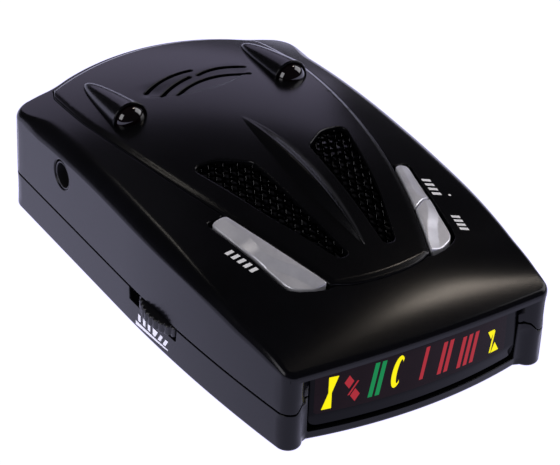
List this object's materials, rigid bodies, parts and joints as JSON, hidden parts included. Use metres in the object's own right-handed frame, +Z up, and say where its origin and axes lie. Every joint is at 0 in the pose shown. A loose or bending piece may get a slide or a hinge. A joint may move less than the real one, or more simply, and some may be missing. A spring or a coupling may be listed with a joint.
{
  "type": "radar detector",
  "caption": "Dashboard radar detector with a two-part case, raised hood with alert periscopes, bowed display, press buttons, volume thumbwheel and horn antenna inside.",
  "frame": {"origin": "middle of the underside that the case rests on, halfway between the display end and the road end", "axes": "+Z up, -Y towards the display and the driver, +Y towards the road, +X to the right seen from the display"},
  "size_m": [0.0707, 0.1107, 0.0327],
  "materials": {
    "case_plastic": "fine satin moulded black",
    "hood_plastic": "satin moulded black",
    "window_plastic": "smoked glossy",
    "mask_plastic": "white moulded",
    "button_metal": "satin chrome plated plastic",
    "steel": "zinc plated",
    "shield_tin": "tin plated",
    "horn_metal": "die-cast zinc",
    "board": "green solder mask",
    "ceramic_board": "white laminate",
    "black_part": "moulded black",
    "cone_paper": "pressed fibre",
    "gasket_foam": "foam",
    "lens_plastic": "clear deep red",
    "led_red": "clear red epoxy",
    "led_white": "diffused",
    "grille_black": "moulded mesh",
    "wheel_rubber": "knurled",
    "capacitor_can": "sleeved"
  },
  "bodies": {
    "root": {"lower_case": "case_plastic", "upper_case": "case_plastic", "hood_panel": "hood_plastic", "display_window": "window_plastic", "display_mask": "mask_plastic", "display_leds": "led_white", "display_board": "board", "display_header": "black_part", "quiet_switch": "black_part", "menu_switch": "black_part", "city_switch": "black_part", "volume_pot": "black_part", "power_jack": "black_part", "jack_contact": "steel", "periscope_lens_left": "lens_plastic", "periscope_lens_right": "lens_plastic", "periscope_led_left": "led_red", "periscope_led_right": "led_red", "grille_left": "grille_black", "grille_right": "grille_black", "speaker_frame": "steel", "speaker_cone": "cone_paper", "speaker_magnet": "steel", "speaker_gasket": "gasket_foam", "main_board": "board", "horn_antenna": "horn_metal", "mixer_board": "ceramic_board", "shield_can": "shield_tin", "laser_lens": "lens_plastic", "laser_sensor": "black_part", "chips": "black_part", "capacitors": "capacitor_can", "case_screws": "steel"},
    "quiet": {"quiet_button": "button_metal", "quiet_plunger": "mask_plastic"},
    "menu": {"menu_button": "button_metal", "menu_plunger": "mask_plastic"},
    "city": {"city_button": "button_metal", "city_plunger": "mask_plastic"},
    "volume": {"volume_wheel": "wheel_rubber", "wheel_shaft": "steel"}
  },
  "joints": [
    {"name": "quiet_press", "type": "slide", "parent": "root", "child": "quiet", "axis": [0, 0, -1], "range_m": [0, 0.0006], "stiffness_N_per_m": 400, "springref_m": -0.0003},
    {"name": "menu_press", "type": "slide", "parent": "root", "child": "menu", "axis": [0, 0, -1], "range_m": [0, 0.0006], "stiffness_N_per_m": 400, "springref_m": -0.0003},
    {"name": "city_press", "type": "slide", "parent": "root", "child": "city", "axis": [0, 0, -1], "range_m": [0, 0.0006], "stiffness_N_per_m": 400, "springref_m": -0.0003},
    {"name": "volume_turn", "type": "hinge", "parent": "root", "child": "volume", "pos_m": [-0.02517, -0.0128, 0.0071], "axis": [0, 0, 1], "range_deg": [-140, 140]}
  ]
}
